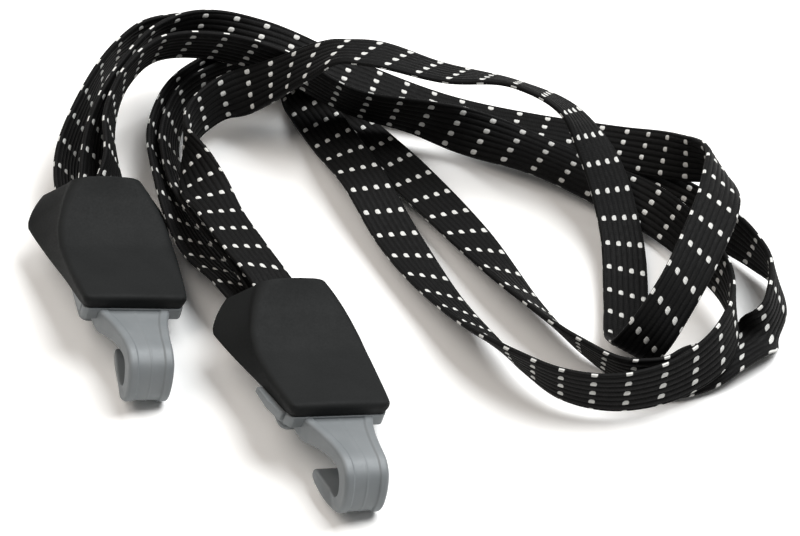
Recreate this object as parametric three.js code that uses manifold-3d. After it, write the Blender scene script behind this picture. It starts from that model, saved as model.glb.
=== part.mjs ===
// Three-strap bungee cord, lying in loose loops, with a covered hook at each end.
// Millimetres, +Z up. The origin is the bottom centre of the box round the two hook ends.
import * as THREE from 'three';
import { mergeVertices } from 'three/addons/utils/BufferGeometryUtils.js';
import Module from 'manifold-3d';

const wasm = await Module();
wasm.setup();

// Clearances and overruns
const gap = 0.3;
const overrun = 3.0;
const circleSides = 16;
const mergeDistance = 1e-4;
const rowStep = 0.05;

// Elastic strap section
const strap = { width: 14.0, thickness: 1.8, edgeRound: 0.6 };

// Black cover, in its own frame: x across, y from the mouth toward the hook, z out of the face
const cover = {
  length: 45.6,
  halfWidth: 21.2,
  faceHalfWidth: 16.6,
  crest: 5.1,
  depth: 12.5,
  wall: 1.6,
  edgeRound: 1.4,
  crown: 0.25,
  postRadius: 2.7,
};
// Rows of the cover from the mouth to the front rim, as shares of its named sizes
const coverRunShares = [0, 0.123, 0.305, 0.471, 0.697, 0.921, 1];
const faceHalfShares = [0.464, 0.736, 0.946, 1, 0.994, 0.952, 0.928];
const faceRiseShares = [1, 0.4, -0.235, -0.451, -0.294, -0.02, 0.059];
const wallHalfShares = [0.764, 1, 0.923, 0.867, 0.783, 0.703, 0.668];
const wallDropShares = [0.536, 1, 0.863, 0.711, 0.511, 0.368, 0.272];
const mouthLeanShare = 0.0987;

// Grey hook moulding: a base under the cover, a neck, a bend and a tip
const base = {
  rearRun: 7.0,
  rearHalf: 17.8,
  frontHalf: 12.4,
  rearDrop: 12.9,
  frontDrop: 9.1,
  plate: 1.8,
  flangeBack: 15.6,
  flangeLip: 0.3,
  flangeLift: 1.6,
  flangeHalf: 18.2,
  panHalf: 12.5,
  panDrop: 14.4,
  panFloor: 1.6,
  panBack: 5.6,
  lugThickness: 2.3,
  slotWidth: 1.2,
  slotDepth: 1.6,
};
const flangeRun = cover.length - base.flangeBack;
const panEnd = cover.length - base.panBack;
// Outline of the flange from its rear corner to the front edge
const flangeRunShares = [0, 0.45, 0.69, 0.86, 1];
const flangeHalfShares = [1, 0.965, 0.9, 0.83, 0.74];
const hook = { reach: 26.9, drop: 16.4, halfWidth: 6.4 };
// Hook band from the neck round the bend to the tip: run past the rim, drop and half width
const outerRunShares = [
  -0.26, 0.0, 0.11, 0.27, 0.49, 0.66, 0.765, 0.863, 0.932, 0.979, 1, 0.966, 0.872, 0.722, 0.53, 0.35,
];
const outerDropShares = [
  0.3, 0.245, 0.22, 0.16, 0.085, 0.05, 0.073, 0.158, 0.304, 0.487, 0.7, 0.872, 0.983, 1, 1, 0.965,
];
const innerRunShares = [
  -0.26, 0.07, 0.19, 0.33, 0.5, 0.628, 0.714, 0.782, 0.82, 0.829, 0.8, 0.735, 0.637, 0.5, 0.41, 0.35,
];
const innerDropShares = [
  0.68, 0.64, 0.56, 0.46, 0.37, 0.325, 0.347, 0.44, 0.562, 0.671, 0.756, 0.793, 0.799, 0.79, 0.78, 0.79,
];
const bandHalfShares = [
  1.72, 1.62, 1.46, 1.28, 1.12, 1.06, 1.04, 1.03, 1.02, 1.01, 1, 1, 1, 1, 1, 0.94,
];
// How far each ring of the band follows the tip where the tip is bent sideways or forward
const bandSwayShares = [0, 0, 0, 0, 0, 0, 0, 0, 0, 0, 0, 0, 0, 0.46, 0.75, 1];
const bandRoundShare = 0.16;

// Steel pin, strap clamp, rivets and screws inside the cover
const pin = { radius: 1.6, run: 19.5, drop: 7.5, halfLength: 11.9 };
const clamp = { plate: 0.7, start: 7.5, length: 7.0, eyeWall: 0.7, side: 0.7 };
const rivet = { radius: 1.0, headRadius: 1.9, head: 0.5, spread: 3.8 };
const screw = { radius: 1.1, headRadius: 2.2, head: 1.3, length: 8.0, spread: 7.4, back: 11.6 };
const screwRun = cover.length - screw.back;

// Where each hook end lies: turn in the table plane, dip of the hook, roll to its right, place
const placeA = { x: -30.56, y: 52.49, z: 17.89 };
const placeB = { x: 23.84, y: 10.69, z: 18.39 };
const ends = [
  { name: 'end_a', turn: 0.26, dip: 0.003, roll: 0.272, tipAhead: -3.1, tipAside: -1.2, ...placeA },
  { name: 'end_b', turn: 0.339, dip: 0.013, roll: 0.307, tipAhead: 0.9, tipAside: 2.4, ...placeB },
];

// Strap routes: row of white dots, middle of the strap, and the direction across it
const routes = {
  strap_inner: [
    [-3.08, 26.14, -2.6, 11.05, -0.898, -0.322, 0.302],
    [-2.33, 23.8, 3.85, 11.18, -0.898, -0.319, 0.302],
    [0.5, 12.43, 26.75, 10.76, -0.812, -0.294, 0.505],
    [2.5, 3.41, 42.52, 7.72, -0.726, -0.318, 0.61],
    [5.5, -10.05, 67.28, 6.37, -0.519, -0.241, 0.82],
    [7.5, -14.13, 85.57, 7.38, -0.299, -0.069, 0.952],
    [9, -11.11, 99.38, 8.38, -0.126, 0.015, 0.992],
    [10.5, -1.8, 109.98, 8.59, 0.028, -0.01, 1],
    [12, 10.28, 116.42, 8.35, 0.156, -0.182, 0.971],
    [13, 18.52, 116.33, 7.03, 0.312, 0.021, 0.95],
    [13.5, 21.65, 113.44, 5.99, 0.53, 0.201, 0.824],
    [14.5, 25.53, 105.93, 5.15, 0.815, 0.357, 0.456],
    [17, 34.57, 85.99, 6.48, 0.881, 0.442, 0.167],
    [19.5, 43.89, 65.85, 9.39, 0.91, 0.402, -0.106],
    [22, 53.53, 45.13, 6.43, 0.879, 0.448, -0.162],
    [25, 66.78, 20.76, 5.97, 0.813, 0.293, -0.502],
    [27.5, 78.16, 2.11, 9.59, 0.615, 0.315, -0.723],
    [29.5, 88.29, -9.73, 10.99, 0.182, 0.329, -0.927],
    [31, 98.9, -17.27, 10.57, 0.007, 0.124, -0.992],
    [33, 116.61, -19.91, 10.2, -0.003, -0.076, -0.997],
    [34.5, 131.11, -15.21, 10.69, 0.111, -0.162, -0.98],
    [36, 143.02, -5.73, 12.41, 0.305, -0.153, -0.94],
    [37, 147.18, 3.4, 12.79, 0.231, -0.098, -0.968],
    [38.5, 146.93, 18.2, 12.41, -0.102, -0.044, -0.994],
    [40, 141.74, 31.81, 11.35, -0.265, -0.236, -0.935],
    [42.5, 130.19, 52.52, 7.67, -0.455, -0.487, -0.746],
    [45, 112.5, 67.88, 6.46, -0.554, -0.794, -0.252],
    [47.5, 92.5, 80, 7.17, -0.46, -0.863, -0.21],
    [49.5, 74.95, 87.88, 7.91, -0.431, -0.548, -0.717],
    [51, 61.71, 90.48, 10.95, -0.288, -0.04, -0.957],
    [53.5, 39.69, 92.91, 15.93, -0.185, 0.293, -0.938],
    [56, 18.75, 101.97, 22.45, -0.213, 0.194, -0.958],
    [58, 0.14, 105.03, 26.83, -0.245, 0.255, -0.935],
    [60, -17.47, 100.89, 29.24, -0.25, 0.273, -0.929],
    [61.5, -25.61, 91.63, 27.69, -0.144, 0.268, -0.953],
    [63.5, -30.46, 76.38, 23.18, 0.08, 0.283, -0.956],
    [65.5, -28.96, 60.56, 18.18, 0.293, 0.32, -0.901],
    [66.5, -29.01, 52.42, 15.54, 0.697, 0.269, -0.665],
    [67.33, -30.21, 45.86, 12.77, 0.932, 0.247, -0.266],
    [68.08, -28.53, 39.22, 12.66, 0.93, 0.249, -0.27],
  ],
  strap_looped: [
    [-1.95, 26.75, -2.38, 13.05, 0.897, 0.32, -0.304],
    [-1.2, 24.37, 4.03, 13.23, 0.898, 0.325, -0.297],
    [0.5, 17.92, 15.94, 18.28, 0.803, 0.437, -0.405],
    [2, 11.07, 26.54, 19.74, 0.836, 0.438, -0.33],
    [4.5, 1.61, 45, 18.92, 0.896, 0.402, -0.189],
    [6.5, -4.44, 60.79, 16.59, 0.731, 0.245, 0.636],
    [8.5, -8.47, 77.56, 14.67, 0.006, 0.101, 0.995],
    [10, -4.7, 89.89, 13.78, -0.174, 0.11, 0.979],
    [11, 1.9, 95.69, 14.61, -0.239, 0.243, 0.94],
    [11.5, 6.28, 96.5, 15.69, -0.204, 0.598, 0.775],
    [13, 16.72, 94.3, 22.84, -0.068, 0.918, 0.392],
    [15, 28.91, 89.84, 34.28, 0.132, 0.978, 0.162],
    [16, 36.32, 88.85, 38.72, 0.009, 0.977, -0.214],
    [17, 45.14, 88.17, 38.97, 0.078, 0.98, -0.185],
    [19.5, 67.38, 86.88, 32.35, 0.037, 0.94, -0.339],
    [22, 88.9, 83.99, 30.24, 0.156, 0.778, -0.608],
    [24, 104.22, 77.07, 25.66, 0.354, 0.794, -0.494],
    [25.5, 111.25, 67.8, 19.33, 0.723, 0.618, -0.309],
    [28.5, 118.28, 45.8, 7.28, 0.901, 0.26, -0.347],
    [31.5, 118.7, 19.21, 3.28, 0.927, -0.069, -0.368],
    [33.5, 118.1, 1.35, 5.74, 0.877, -0.098, -0.471],
    [34.5, 120.01, -5.05, 11.34, 0.826, -0.178, -0.535],
    [35, 122.6, -4.88, 15.43, 0.768, -0.234, -0.596],
    [36.5, 130.69, 3.61, 24.07, 0.7, -0.212, -0.682],
    [38.5, 139.15, 19.84, 29.83, 0.788, -0.226, -0.573],
    [41, 145.52, 41.6, 29.78, 0.777, -0.232, -0.586],
    [42.5, 145.49, 54.52, 25.58, 0.502, -0.245, -0.829],
    [44.5, 134.97, 66.78, 17.45, -0.001, -0.565, -0.825],
    [47, 120.35, 79.96, 8.61, -0.37, -0.807, -0.46],
    [50.5, 93.15, 92.59, 4.62, -0.334, -0.942, -0.012],
    [53.5, 67.69, 100.92, 4.55, -0.278, -0.961, -0.012],
    [57, 38.06, 108.25, 12.32, -0.262, -0.955, -0.141],
    [60, 11.97, 112.43, 21.97, -0.254, -0.767, -0.589],
    [62.5, -10.2, 113.05, 26.22, -0.162, -0.037, -0.986],
    [63.5, -18.04, 109.38, 27.07, -0.219, 0.215, -0.952],
    [65.5, -27.84, 95.31, 24.65, -0.069, 0.239, -0.969],
    [68, -34.09, 75.21, 18.82, 0.331, 0.216, -0.919],
    [70, -33.84, 58.56, 13.42, 0.651, 0.258, -0.714],
    [71.53, -30.89, 45.72, 10.63, 0.927, 0.249, -0.28],
    [72.28, -29.07, 39.07, 10.62, 0.931, 0.248, -0.269],
  ],
  strap_outer: [
    [-2.36, 25.53, -2.78, 9.06, -0.898, -0.32, 0.303],
    [-1.61, 23.17, 3.59, 9.18, -0.897, -0.323, 0.301],
    [-0, 12.7, 13.48, 11.22, -0.789, -0.431, 0.438],
    [1, 7.68, 20.25, 10.99, -0.791, -0.333, 0.514],
    [3.5, -2.94, 38.35, 6.38, -0.789, -0.345, 0.509],
    [6.5, -13.75, 63.46, 6.33, -0.448, -0.198, 0.872],
    [9, -18.56, 85.83, 7.94, -0.15, -0.083, 0.985],
    [11, -12.63, 103.92, 9.67, -0.053, -0.039, 0.998],
    [12.5, -2.24, 114.03, 9.84, 0.056, -0.039, 0.998],
    [14, 10.61, 119.64, 8.98, 0.177, -0.176, 0.968],
    [15, 19.31, 119.07, 7.2, 0.294, 0.019, 0.956],
    [16.5, 29.02, 110.62, 4.67, 0.722, 0.485, 0.494],
    [18.5, 39.43, 96.49, 3.53, 0.803, 0.595, 0.041],
    [21.5, 55.78, 74.5, 4.18, 0.807, 0.59, -0.024],
    [25, 73.81, 47.03, 5.56, 0.862, 0.454, -0.225],
    [28.5, 91.04, 17.96, 7.21, 0.618, 0.32, -0.718],
    [31, 104.79, 0.04, 7.82, 0.236, 0.364, -0.901],
    [33, 118.93, -10.54, 7.38, 0.024, 0.146, -0.989],
    [34, 127.56, -12.04, 7.41, -0.048, -0.239, -0.97],
    [35, 135.47, -8.23, 6.33, 0.239, -0.665, -0.707],
    [36.5, 146.57, -0.23, 4.24, 0.625, -0.777, 0.066],
    [37.5, 154.08, 5.63, 4.46, 0.675, -0.737, -0.02],
    [38, 157.29, 8.8, 5.99, 0.499, -0.168, -0.85],
    [39, 161.14, 17.82, 7.85, 0.425, 0.136, -0.895],
    [40, 160.48, 28.09, 9.23, 0.199, 0.102, -0.975],
    [41, 155.73, 36.73, 9.02, -0.01, -0.07, -0.998],
    [43, 143.75, 51.87, 7.08, -0.302, -0.392, -0.869],
    [46.5, 118.24, 74.38, 3.54, -0.509, -0.764, -0.397],
    [50.5, 85.45, 94.09, 1.91, -0.426, -0.903, -0.057],
    [53.5, 58.84, 103.75, 2.83, -0.282, -0.958, 0.056],
    [57, 28.06, 110.91, 11.59, -0.2, -0.979, -0.05],
    [60, 1.77, 115.6, 20.41, -0.19, -0.755, -0.628],
    [61.5, -11.47, 118.7, 20.5, 0.028, -0.125, -0.992],
    [63, -24.16, 115.85, 20.74, -0.093, 0.143, -0.985],
    [64, -30.71, 109.54, 20.06, -0.15, 0.241, -0.959],
    [66.5, -39.64, 89.07, 14.53, 0.205, 0.225, -0.952],
    [69, -43.21, 67.85, 9.05, 0.454, 0.17, -0.875],
    [70.5, -40.06, 55.27, 7.26, 0.618, 0.262, -0.741],
    [71.94, -31.45, 45.54, 8.56, 0.932, 0.25, -0.261],
    [72.69, -29.61, 38.92, 8.6, 0.931, 0.248, -0.269],
  ],
};

// Turns a closed triangle list into a solid
function solidOf(points, faces) {
  const vertices = new Float32Array(points.flatMap((p) => [p.x, p.y, p.z]));
  const mesh = new wasm.Mesh({
    numProp: 3,
    vertProperties: vertices,
    triVerts: new Uint32Array(faces.flat()),
  });
  return new wasm.Manifold(mesh);
}

// Turns a three.js geometry into a solid
function solidFrom(geometry, matrix = new THREE.Matrix4()) {
  let plain = geometry.clone().applyMatrix4(matrix);
  plain.deleteAttribute('normal');
  plain.deleteAttribute('uv');
  plain = mergeVertices(plain, mergeDistance);
  return new wasm.Manifold(new wasm.Mesh({
    numProp: 3,
    vertProperties: new Float32Array(plain.attributes.position.array),
    triVerts: new Uint32Array(plain.index.array),
  }));
}

// Turns a solid back into a geometry
function geometryOf(solid) {
  const mesh = solid.getMesh();
  const geometry = new THREE.BufferGeometry();
  geometry.setAttribute('position', new THREE.BufferAttribute(mesh.vertProperties, 3));
  geometry.setIndex(new THREE.BufferAttribute(mesh.triVerts, 1));
  return geometry;
}

// Skins a row of rings that all have the same number of points
function loftSolid(rings) {
  const sides = rings[0].length;
  const last = rings.length - 1;
  const points = rings.flat();
  const faces = [];
  for (let i = 0; i < last; i += 1) {
    for (let j = 0; j < sides; j += 1) {
      const k = (j + 1) % sides;
      const a = i * sides + j;
      const b = i * sides + k;
      faces.push([a, b, b + sides], [a, b + sides, a + sides]);
    }
  }
  for (let j = 1; j < sides - 1; j += 1) {
    faces.push([0, j + 1, j], [last * sides, last * sides + j, last * sides + j + 1]);
  }
  const solid = solidOf(points, faces);
  return solid.volume() > 0 ? solid : solidOf(points, faces.map((f) => [f[0], f[2], f[1]]));
}

function boxSolid(x0, x1, y0, y1, z0, z1) {
  const geometry = new THREE.BoxGeometry(x1 - x0, y1 - y0, z1 - z0);
  const middle = new THREE.Matrix4().makeTranslation((x0 + x1) / 2, (y0 + y1) / 2, (z0 + z1) / 2);
  return solidFrom(geometry, middle);
}

// A round bar along the x axis
function barAcross(radius, x0, x1, y, z) {
  const geometry = new THREE.CylinderGeometry(radius, radius, x1 - x0, circleSides);
  const matrix = new THREE.Matrix4().makeTranslation((x0 + x1) / 2, y, z);
  matrix.multiply(new THREE.Matrix4().makeRotationZ(Math.PI / 2));
  return solidFrom(geometry, matrix);
}

// A round bar along the z axis
function barUp(radius, x, y, z0, z1) {
  const geometry = new THREE.CylinderGeometry(radius, radius, z1 - z0, circleSides);
  const matrix = new THREE.Matrix4().makeTranslation(x, y, (z0 + z1) / 2);
  matrix.multiply(new THREE.Matrix4().makeRotationX(Math.PI / 2));
  return solidFrom(geometry, matrix);
}

function readTable(runs, values, run) {
  let i = 0;
  while (i < runs.length - 2 && run > runs[i + 1]) {
    i += 1;
  }
  const part = (run - runs[i]) / (runs[i + 1] - runs[i]);
  return values[i] + (values[i + 1] - values[i]) * part;
}

// Sizes of the cover at a run from its mouth
const coverRuns = coverRunShares.map((s) => s * cover.length);
const faceHalves = faceHalfShares.map((s) => s * cover.faceHalfWidth);
const faceRises = faceRiseShares.map((s) => s * cover.crest);
const wallHalves = wallHalfShares.map((s) => s * cover.halfWidth);
const wallDrops = wallDropShares.map((s) => s * cover.depth);

// One ring round the cover: outer surface, or the hollow inside the wall
function coverRing(i, inset, below, runShift) {
  const rise = faceRises[i] - inset;
  const half = faceHalves[i] - inset;
  const slope = (wallHalves[i] - faceHalves[i]) / (faceRises[i] + wallDrops[i]);
  const low = -wallDrops[i] - below;
  const lowHalf = wallHalves[i] - inset + slope * below;
  const round = cover.edgeRound;
  const lean = i === 0 ? mouthLeanShare * cover.length : 0;
  const leanAt = (z) => (lean * (rise - z)) / (faceRises[0] + wallDrops[0]);
  const outline = [
    [lowHalf, low],
    [half + slope * round, rise - round],
    [half - round, rise],
    [0, rise + cover.crown],
    [round - half, rise],
    [-half - slope * round, rise - round],
    [-lowHalf, low],
  ];
  return outline.map(([x, z]) => new THREE.Vector3(x, coverRuns[i] + runShift - leanAt(z), z));
}

function coverSolid() {
  const last = coverRuns.length - 1;
  let outer = loftSolid(coverRuns.map((run, i) => coverRing(i, 0, 0, 0)));
  const hollow = coverRuns.map((run, i) => coverRing(i, cover.wall, overrun, 0));
  const rear = coverRing(0, cover.wall, overrun, -overrun);
  hollow[last] = coverRing(last, cover.wall, overrun, -cover.wall);
  outer = outer.subtract(loftSolid([rear, ...hollow]));
  for (const side of [-1, 1]) {
    const x = side * screw.spread;
    const top = readTable(coverRuns, faceRises, screwRun) - cover.wall / 2;
    const foot = floorTop + base.panFloor + gap;
    const post = barUp(cover.postRadius, x, screwRun, foot, top);
    const bore = barUp(screw.radius + gap, x, screwRun, foot - overrun, foot + screw.length - base.panFloor);
    outer = outer.add(post).subtract(bore);
  }
  return outer;
}

// The pan floor inside the base
const floorTop = base.panFloor - base.panDrop;

// Underside and top of the base plate at a run
function baseLow(run) {
  const end = cover.length + base.flangeLip;
  const part = (run - base.rearRun) / (end - base.rearRun);
  return -base.rearDrop + (base.rearDrop - base.frontDrop) * part;
}

// A ring of four corners across the base
function baseRing(run, half, low, high) {
  return [
    new THREE.Vector3(-half, run, low),
    new THREE.Vector3(half, run, low),
    new THREE.Vector3(half, run, high),
    new THREE.Vector3(-half, run, high),
  ];
}

function flangeSolid() {
  const end = cover.length + base.flangeLip;
  const rings = flangeRunShares.map((share, i) => {
    const run = flangeRun + (end - flangeRun) * share;
    const half = base.flangeHalf * flangeHalfShares[i];
    const edge = -readTable(coverRuns, wallDrops, Math.min(run, cover.length)) - gap;
    return baseRing(run, half, baseLow(run) + base.flangeLift, edge);
  });
  return loftSolid(rings);
}

function bandSolid(end) {
  const rings = outerRunShares.map((share, i) => {
    const ahead = cover.length + end.tipAhead * bandSwayShares[i];
    const aside = end.tipAside * bandSwayShares[i];
    const outer = new THREE.Vector2(ahead + hook.reach * share, -hook.drop * outerDropShares[i]);
    const inner = new THREE.Vector2(ahead + hook.reach * innerRunShares[i], -hook.drop * innerDropShares[i]);
    const half = hook.halfWidth * bandHalfShares[i];
    const round = hook.halfWidth * bandRoundShare;
    const span = inner.clone().sub(outer);
    const cut = round / span.length();
    const at = (x, depth) => {
      const spot = outer.clone().addScaledVector(span, depth);
      return new THREE.Vector3(x + aside, spot.x, spot.y);
    };
    return [
      at(round - half, 0),
      at(half - round, 0),
      at(half, cut),
      at(half, 1 - cut),
      at(half - round, 1),
      at(round - half, 1),
      at(-half, 1 - cut),
      at(-half, cut),
    ];
  });
  return loftSolid(rings);
}

function hookSolid(end) {
  const plateFront = panEnd + base.panFloor;
  let body = loftSolid([
    baseRing(base.rearRun, base.rearHalf, baseLow(base.rearRun), baseLow(base.rearRun) + base.plate),
    baseRing(plateFront, base.frontHalf, baseLow(plateFront), baseLow(plateFront) + base.plate),
  ]);
  body = body.add(flangeSolid());
  const panTop = baseLow(base.rearRun) + base.plate / 2;
  body = body.add(boxSolid(-base.panHalf, base.panHalf, base.rearRun, panEnd, -base.panDrop, panTop));
  const inHalf = base.panHalf - base.panFloor;
  const inEnd = panEnd - base.panFloor;
  body = body.subtract(boxSolid(-inHalf, inHalf, 0, inEnd, floorTop, cover.crest));
  body = body.add(bandSolid(end));
  for (const side of [-1, 1]) {
    const x0 = side * (base.panHalf - base.lugThickness);
    const x1 = side * base.panHalf;
    const reach = pin.radius + cover.wall;
    body = body.add(boxSolid(
      Math.min(x0, x1),
      Math.max(x0, x1),
      pin.run - reach,
      pin.run + reach,
      floorTop,
      reach - pin.drop,
    ));
    const boss = barUp(cover.postRadius, side * screw.spread, screwRun, -base.panDrop, floorTop + base.panFloor);
    body = body.add(boss);
  }
  body = body.subtract(barAcross(pin.radius + gap, -pin.halfLength - gap, pin.halfLength + gap, pin.run, -pin.drop));
  for (const side of [-1, 1]) {
    const x = side * screw.spread;
    body = body.subtract(barUp(screw.radius + gap, x, screwRun, -base.panDrop - overrun, overrun - base.panFloor));
    const bore = barUp(screw.headRadius + gap, x, screwRun, -base.panDrop - overrun, screw.head - base.panDrop);
    body = body.subtract(bore);
    const slotRun = flangeRun + (cover.length + base.flangeLip - flangeRun) * flangeRunShares[3];
    const edge = base.flangeHalf * flangeHalfShares[3];
    const x0 = side * (edge - base.slotDepth);
    const x1 = side * (edge + overrun);
    body = body.subtract(boxSolid(
      Math.min(x0, x1),
      Math.max(x0, x1),
      slotRun - base.slotWidth,
      slotRun,
      -base.panDrop,
      0,
    ));
  }
  return body;
}

// Height of the strap stack in the clamp, from the middle of its middle strap
const layer = strap.thickness + gap;
const stackHalf = layer + strap.thickness / 2 + gap;
const clampHalf = strap.width / 2 + gap + clamp.side;

function rivetPlaces() {
  const run = clamp.start + clamp.length / 2;
  return [-1, 1].map((side) => [side * rivet.spread, run]);
}

function clampSolid() {
  const outerHalf = stackHalf + clamp.plate;
  const end = clamp.start + clamp.length;
  let body = boxSolid(-clampHalf, clampHalf, clamp.start, end, -pin.drop - outerHalf, outerHalf - pin.drop);
  const inHalf = strap.width / 2 + gap;
  const inner = boxSolid(-inHalf, inHalf, 0, end - clamp.plate, -pin.drop - stackHalf, stackHalf - pin.drop);
  body = body.subtract(inner);
  const eye = pin.radius + gap + clamp.eyeWall;
  const eyeHalf = base.panHalf - base.lugThickness - gap;
  const neckHalf = Math.min(clampHalf, eyeHalf);
  body = body.add(boxSolid(
    -neckHalf,
    neckHalf,
    end - clamp.plate / 2,
    pin.run,
    -pin.drop - clamp.plate,
    clamp.plate - pin.drop,
  ));
  body = body.add(barAcross(eye, -neckHalf, neckHalf, pin.run, -pin.drop));
  body = body.subtract(barAcross(pin.radius + gap, -base.panHalf, base.panHalf, pin.run, -pin.drop));
  for (const [x, run] of rivetPlaces()) {
    body = body.subtract(barUp(rivet.radius + gap, x, run, -base.panDrop, 0));
  }
  return body;
}

function rivetSolids() {
  const top = stackHalf + clamp.plate + gap / 2;
  return rivetPlaces().map(([x, run]) => {
    let body = barUp(rivet.radius, x, run, -pin.drop - top - rivet.head, top + rivet.head - pin.drop);
    body = body.add(barUp(rivet.headRadius, x, run, top - pin.drop, top + rivet.head - pin.drop));
    return body.add(barUp(rivet.headRadius, x, run, -pin.drop - top - rivet.head, -pin.drop - top));
  });
}

function screwSolids() {
  const seat = screw.head - base.panDrop - gap;
  return [-1, 1].map((side) => {
    const x = side * screw.spread;
    const shank = barUp(screw.radius, x, screwRun, seat - screw.head / 2, seat + screw.length);
    return shank.add(barUp(screw.headRadius, x, screwRun, seat - screw.head + gap, seat));
  });
}

// Value on a route between its points, by the row number along the strap
function onRoute(route, column, row) {
  const last = route.length - 1;
  let i = 0;
  while (i < last - 1 && row >= route[i + 1][0]) {
    i += 1;
  }
  const slope = (k) => (route[k + 1][column] - route[k][column]) / (route[k + 1][0] - route[k][0]);
  const lean = (k) => {
    if (k === 0) {
      return slope(0);
    }
    if (k === last) {
      return slope(last - 1);
    }
    const before = route[k][0] - route[k - 1][0];
    const after = route[k + 1][0] - route[k][0];
    return (slope(k - 1) * after + slope(k) * before) / (before + after);
  };
  const span = route[i + 1][0] - route[i][0];
  const u = (row - route[i][0]) / span;
  const u2 = u * u;
  const u3 = u2 * u;
  return (
    (2 * u3 - 3 * u2 + 1) * route[i][column] +
    (u3 - 2 * u2 + u) * span * lean(i) +
    (3 * u2 - 2 * u3) * route[i + 1][column] +
    (u3 - u2) * span * lean(i + 1)
  );
}

function routePoint(route, row) {
  return new THREE.Vector3(onRoute(route, 1, row), onRoute(route, 2, row), onRoute(route, 3, row));
}

// A flat strap along its route, with one ring at each point and one between
function strapSolid(route) {
  const rows = [];
  for (let i = 0; i < route.length - 1; i += 1) {
    rows.push(route[i][0], (route[i][0] + route[i + 1][0]) / 2);
  }
  rows.push(route[route.length - 1][0]);
  const first = rows[0];
  const final = rows[rows.length - 1];
  const half = strap.width / 2;
  const thin = strap.thickness / 2;
  const side = half - strap.edgeRound;
  const rings = rows.map((row) => {
    const spot = routePoint(route, row);
    const ahead = routePoint(route, Math.min(row + rowStep, final));
    const along = ahead.sub(routePoint(route, Math.max(row - rowStep, first))).normalize();
    const across = new THREE.Vector3(onRoute(route, 4, row), onRoute(route, 5, row), onRoute(route, 6, row));
    across.addScaledVector(along, -across.dot(along)).normalize();
    const out = new THREE.Vector3().crossVectors(along, across);
    const at = (x, z) => spot.clone().addScaledVector(across, x).addScaledVector(out, z);
    return [
      at(half, 0),
      at(side, thin),
      at(0, thin),
      at(-side, thin),
      at(-half, 0),
      at(-side, -thin),
      at(0, -thin),
      at(side, -thin),
    ];
  });
  return loftSolid(rings);
}

// Placing matrix of a hook end
function placeOf(end) {
  const reach = new THREE.Vector3(
    Math.sin(end.turn) * Math.cos(end.dip),
    -Math.cos(end.turn) * Math.cos(end.dip),
    -Math.sin(end.dip),
  );
  const level = new THREE.Vector3(Math.cos(end.turn), Math.sin(end.turn), 0);
  const up = new THREE.Vector3().crossVectors(level, reach).negate();
  const across = level.clone().multiplyScalar(-Math.cos(end.roll)).addScaledVector(up, Math.sin(end.roll));
  const face = up.clone().multiplyScalar(Math.cos(end.roll)).addScaledVector(level, Math.sin(end.roll));
  return new THREE.Matrix4().makeBasis(across, reach, face).setPosition(end.x, end.y, end.z);
}

// Places a solid that was drawn in a hook end's own frame
function placed(solid, end) {
  const matrix = placeOf(end);
  return solid.transform(matrix.toArray());
}

const black = new THREE.MeshStandardMaterial({ color: 0x2c2d2d, roughness: 0.7, metalness: 0 });
const grey = new THREE.MeshStandardMaterial({ color: 0x8c9093, roughness: 0.4, metalness: 0 });
const steel = new THREE.MeshStandardMaterial({ color: 0xb4b6b8, roughness: 0.35, metalness: 1 });
const elastic = new THREE.MeshStandardMaterial({ color: 0x1a1a1a, roughness: 0.9, metalness: 0 });

const part = new THREE.Group();

function addMesh(name, solid, material) {
  const mesh = new THREE.Mesh(geometryOf(solid), material);
  mesh.name = name;
  part.add(mesh);
}

for (const end of ends) {
  addMesh(`${end.name}_cover`, placed(coverSolid(), end), black);
  addMesh(`${end.name}_hook`, placed(hookSolid(end), end), grey);
  addMesh(`${end.name}_pin`, placed(barAcross(pin.radius, -pin.halfLength, pin.halfLength, pin.run, -pin.drop), end), steel);
  addMesh(`${end.name}_clamp`, placed(clampSolid(), end), steel);
  rivetSolids().forEach((solid, i) => {
    addMesh(`${end.name}_rivet_${i + 1}`, placed(solid, end), steel);
  });
  screwSolids().forEach((solid, i) => {
    addMesh(`${end.name}_screw_${i + 1}`, placed(solid, end), steel);
  });
}

for (const [name, route] of Object.entries(routes)) {
  let solid = strapSolid(route);
  for (const end of ends) {
    for (const [x, run] of rivetPlaces()) {
      solid = solid.subtract(placed(barUp(rivet.radius + gap, x, run, -base.panDrop, 0), end));
    }
  }
  addMesh(name, solid, elastic);
}

export default part;
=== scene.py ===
"""Three-strap bungee cord with a covered plastic hook at each end, lying in loose loops."""

import logging
from dataclasses import dataclass
from enum import Enum
from typing import Union

import bmesh
import bpy
import numpy as np
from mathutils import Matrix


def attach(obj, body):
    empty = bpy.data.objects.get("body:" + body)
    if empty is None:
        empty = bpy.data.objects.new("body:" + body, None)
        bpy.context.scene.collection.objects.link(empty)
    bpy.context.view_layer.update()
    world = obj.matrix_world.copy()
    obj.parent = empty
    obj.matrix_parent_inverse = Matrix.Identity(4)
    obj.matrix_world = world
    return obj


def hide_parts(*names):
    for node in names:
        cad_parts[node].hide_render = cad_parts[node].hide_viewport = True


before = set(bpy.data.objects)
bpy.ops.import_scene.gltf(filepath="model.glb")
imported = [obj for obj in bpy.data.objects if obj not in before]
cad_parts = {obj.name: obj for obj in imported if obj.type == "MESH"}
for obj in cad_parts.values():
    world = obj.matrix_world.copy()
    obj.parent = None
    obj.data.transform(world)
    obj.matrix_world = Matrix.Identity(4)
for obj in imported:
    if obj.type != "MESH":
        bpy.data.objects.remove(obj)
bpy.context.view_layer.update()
log = logging.getLogger("bungee_cord")

MM = 0.001
SEW_DISTANCE = 0.00002
SLIVER_LENGTH = 0.00001
FULL_TURN = 6.28318

# What a shader input takes: another node's output, a number, or a colour
Feed = Union[bpy.types.NodeSocket, float, tuple]


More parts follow.
